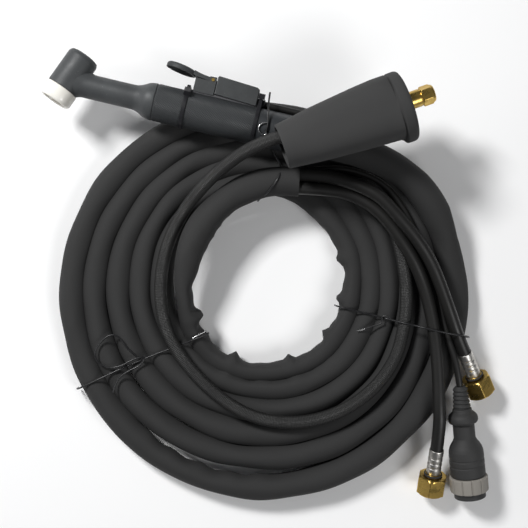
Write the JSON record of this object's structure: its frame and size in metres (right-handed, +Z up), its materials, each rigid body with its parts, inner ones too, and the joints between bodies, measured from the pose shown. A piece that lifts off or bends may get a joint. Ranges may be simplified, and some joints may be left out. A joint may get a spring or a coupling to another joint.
{
  "type": "tig welding torch",
  "caption": "Water-cooled TIG torch with bent neck and trigger handle, on a coiled jacket with gas and water hoses, a booted power connector and a control plug",
  "frame": {"origin": "on the surface the coil lies on, under the middle of the coil", "axes": "+Z is up, +X runs across the coil towards the hose ends' side, +Y runs towards the torch handle's side"},
  "size_m": [0.3706, 0.3708, 0.1047],
  "materials": {
    "moulded_rubber": "matte dark grey moulding",
    "glossy_white": "smooth off-white",
    "brass": "turned, bright",
    "copper_tube": "drawn tube",
    "black_handle": "diamond knurled grip",
    "grey_plastic": "fine grained moulding",
    "dark_plastic": "moulded",
    "black_tie": "nylon strap",
    "jacket_vinyl": "soft semi-gloss cover",
    "hose_rubber": "matte hose",
    "braid_rubber": "braid under a thin cover",
    "boot_rubber": "soft sheen",
    "aluminium_sleeve": "crimped",
    "black_seal": "smooth",
    "grey_ring": "grooved ring",
    "black_shell": "moulded",
    "contact_pin": "plated",
    "tie_wire": "covered wire"
  },
  "bodies": {
    "torch_and_cords": {"head_insulation": "moulded_rubber", "head_body": "brass", "front_insulator": "glossy_white", "neck_gas_tube": "copper_tube", "neck_water_tube": "copper_tube", "neck_power_tube": "copper_tube", "gas_barb": "brass", "water_barb": "brass", "power_barb": "brass", "handle_grip": "black_handle", "inner_gas_hose": "hose_rubber", "inner_water_hose": "hose_rubber", "inner_power_hose": "braid_rubber", "switch_base": "dark_plastic", "switch_nose": "grey_plastic", "switch_housing": "grey_plastic", "lever_pin": "brass", "micro_switch": "black_shell", "terminal_block": "black_shell", "switch_cable": "hose_rubber", "cable_ties": "black_tie", "jacket_lead": "jacket_vinyl", "jacket_coil": "jacket_vinyl", "jacket_tail": "jacket_vinyl", "power_cable": "braid_rubber", "gas_hose": "hose_rubber", "water_hose": "hose_rubber", "control_cable": "hose_rubber", "gas_ferrule": "aluminium_sleeve", "gas_nipple": "brass", "gas_ring": "black_seal", "water_ferrule": "aluminium_sleeve", "water_nipple": "brass", "water_ring": "black_seal", "power_boot": "boot_rubber", "power_connector": "brass", "power_crimp": "brass", "plug_boot": "black_shell", "plug_collar": "black_shell", "plug_shell": "black_shell", "plug_insert": "black_shell", "plug_pins": "contact_pin", "coil_ties": "tie_wire"},
    "lever": {"switch_lever": "grey_plastic"},
    "plunger": {"switch_plunger": "glossy_white"},
    "gas_nut_body": {"gas_nut": "brass"},
    "water_nut_body": {"water_nut": "brass"},
    "plug_coupling_ring_body": {"plug_coupling_ring": "grey_ring"}
  },
  "joints": [
    {"name": "lever_press", "type": "hinge", "parent": "torch_and_cords", "child": "lever", "pos_m": [-0.04122, 0.17316, 0.03942], "axis": [0.0202, 0.0848, 0.9962], "range_deg": [0, 6], "stiffness_Nm_per_rad": 0.05},
    {"name": "plunger_press", "type": "slide", "parent": "torch_and_cords", "child": "plunger", "axis": [-0.2309, -0.9691, 0.0872], "range_m": [0, 0.000775]},
    {"name": "gas_nut_spin", "type": "hinge", "parent": "torch_and_cords", "child": "gas_nut_body", "pos_m": [0.1718, -0.0634, 0.0196], "axis": [0.3972, -0.8428, -0.3633], "continuous": true},
    {"name": "water_nut_spin", "type": "hinge", "parent": "torch_and_cords", "child": "water_nut_body", "pos_m": [0.1394, -0.144, 0.0194], "axis": [-0.08, -0.9255, -0.3702], "continuous": true},
    {"name": "coupling_ring_spin", "type": "hinge", "parent": "torch_and_cords", "child": "plug_coupling_ring_body", "pos_m": [0.1606, -0.0834, 0.0279], "axis": [0.1152, -0.9826, -0.1459], "continuous": true}
  ],
  "couplings": [
    {"joint": "plunger_press", "follows": "lever_press", "m_per_rad": 0.0074}
  ]
}
